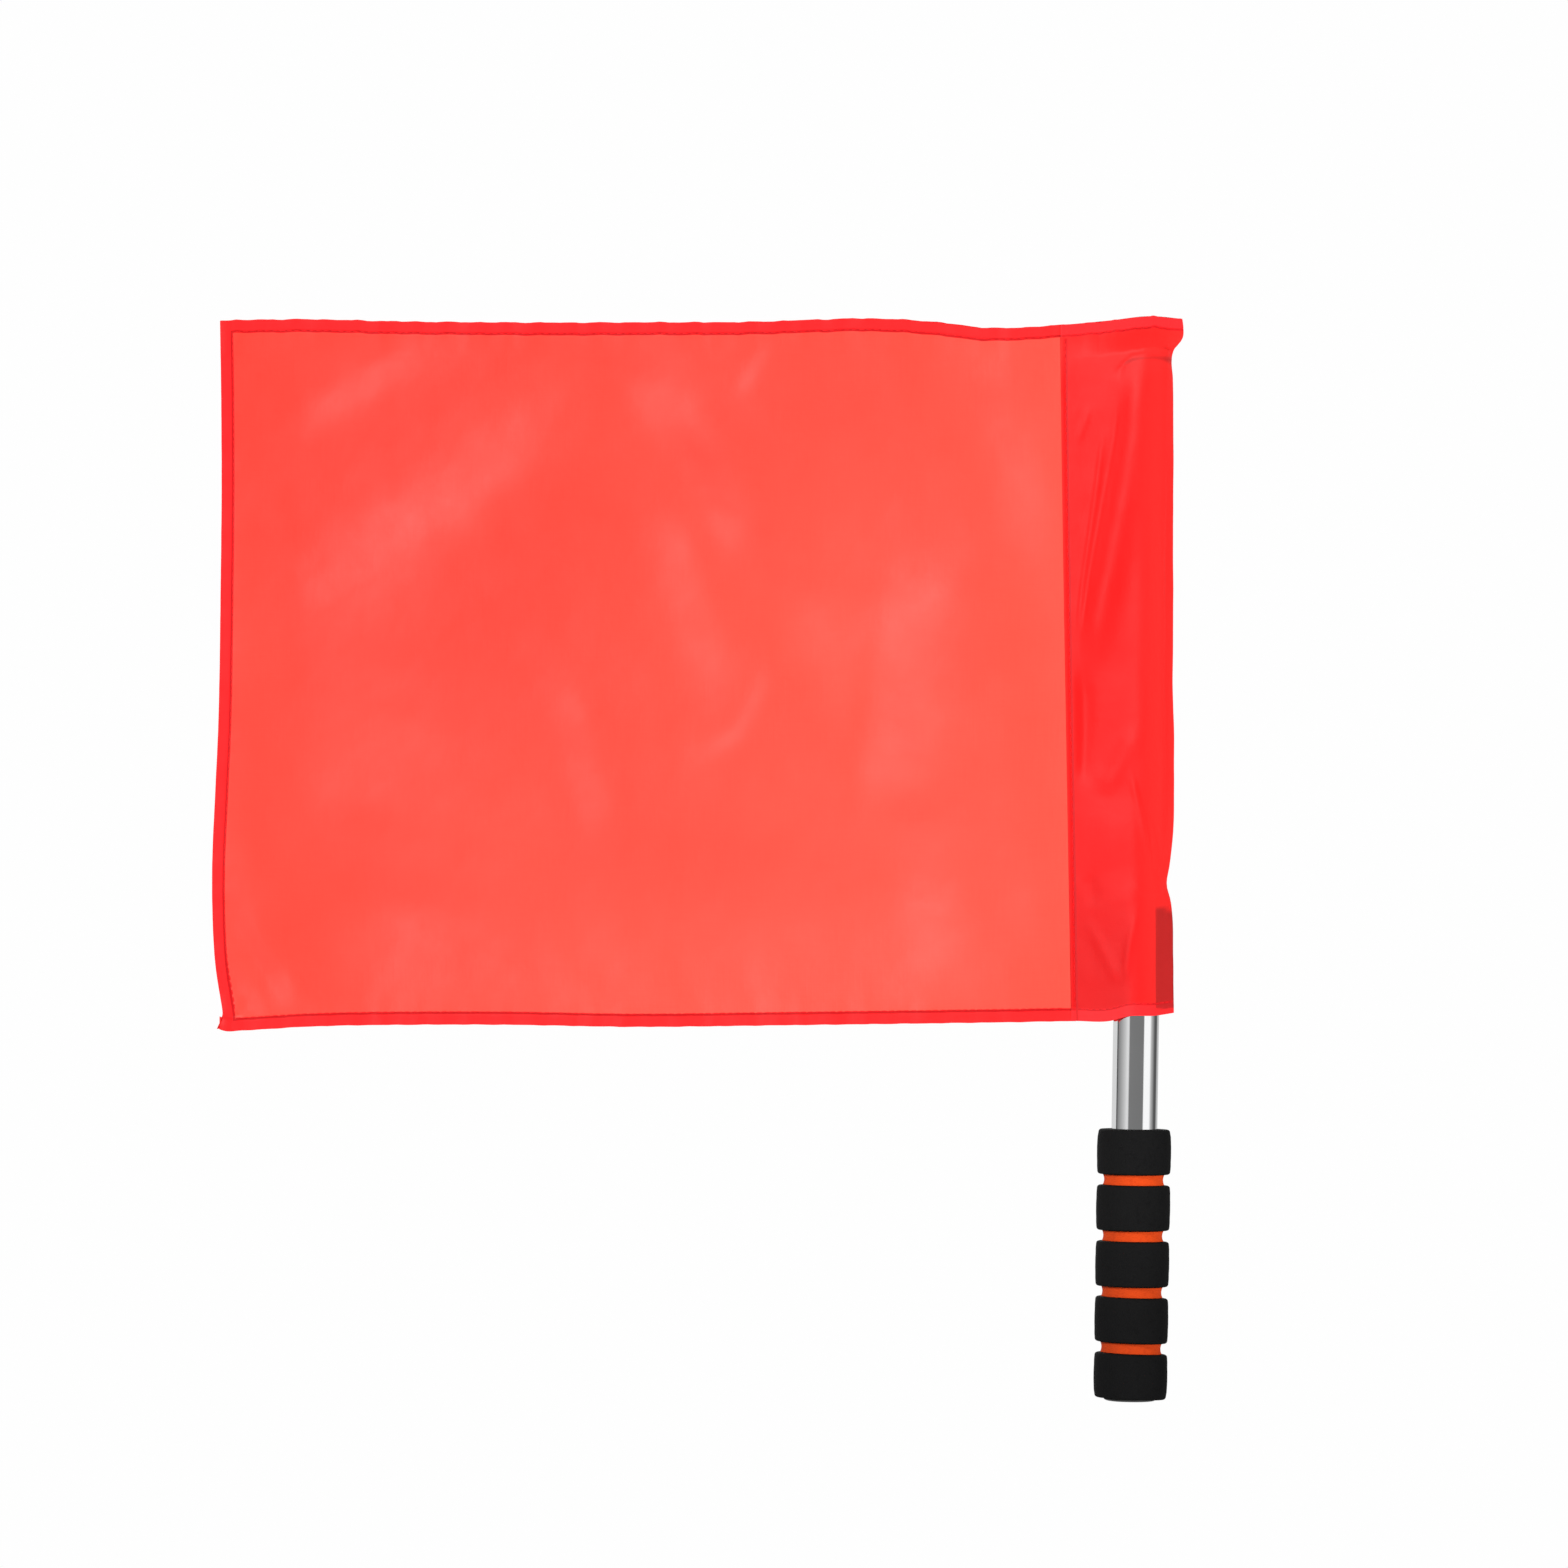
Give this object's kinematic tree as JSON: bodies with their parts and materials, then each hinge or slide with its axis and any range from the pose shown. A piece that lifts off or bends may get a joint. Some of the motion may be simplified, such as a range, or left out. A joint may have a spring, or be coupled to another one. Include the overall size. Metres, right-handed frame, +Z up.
{
  "type": "hand signal flag",
  "caption": "Hand-held signal flag: a rectangular hemmed cloth whose sleeve slips over a round metal tube that ends in a ringed foam grip.",
  "frame": {"origin": "on the tube's axis, halfway up the foam grip, where the hand holds it", "axes": "+Z up along the tube from the grip to the flag; the flag flies towards -X; its front faces -Y"},
  "size_m": [0.4009, 0.0308, 0.4486],
  "materials": {
    "stainless": "polished",
    "black_plastic": "satin",
    "black_tape": "matte",
    "black_foam": "matte",
    "orange_foam": "matte",
    "red_cloth": "satin",
    "red_thread": "satin"
  },
  "bodies": {
    "pole": {"pole_tube": "stainless", "tube_top_plug": "black_plastic", "grip_end_cap": "black_plastic", "hook_tape": "black_tape", "grip_ring_1": "black_foam", "grip_ring_2": "black_foam", "grip_ring_3": "black_foam", "grip_ring_4": "black_foam", "grip_ring_5": "black_foam", "grip_band_1": "orange_foam", "grip_band_2": "orange_foam", "grip_band_3": "orange_foam", "grip_band_4": "orange_foam"},
    "sleeve": {"sleeve_cloth": "red_cloth", "loop_tape": "black_tape", "sleeve_seam_thread": "red_thread", "sleeve_top_thread": "red_thread", "sleeve_mouth_thread": "red_thread"},
    "panel": {"flag_panel": "red_cloth", "top_hem_thread": "red_thread", "bottom_hem_thread": "red_thread", "fly_hem_thread": "red_thread"}
  },
  "joints": [
    {"name": "sleeve_slide", "type": "slide", "parent": "pole", "child": "sleeve", "axis": [0, 0, 1], "range_m": [0, 0.28]},
    {"name": "panel_hinge", "type": "hinge", "parent": "sleeve", "child": "panel", "pos_m": [-0.03135, 0, 0.24657], "axis": [-0.0316, 0, 0.9995], "range_deg": [-110, 110]}
  ]
}
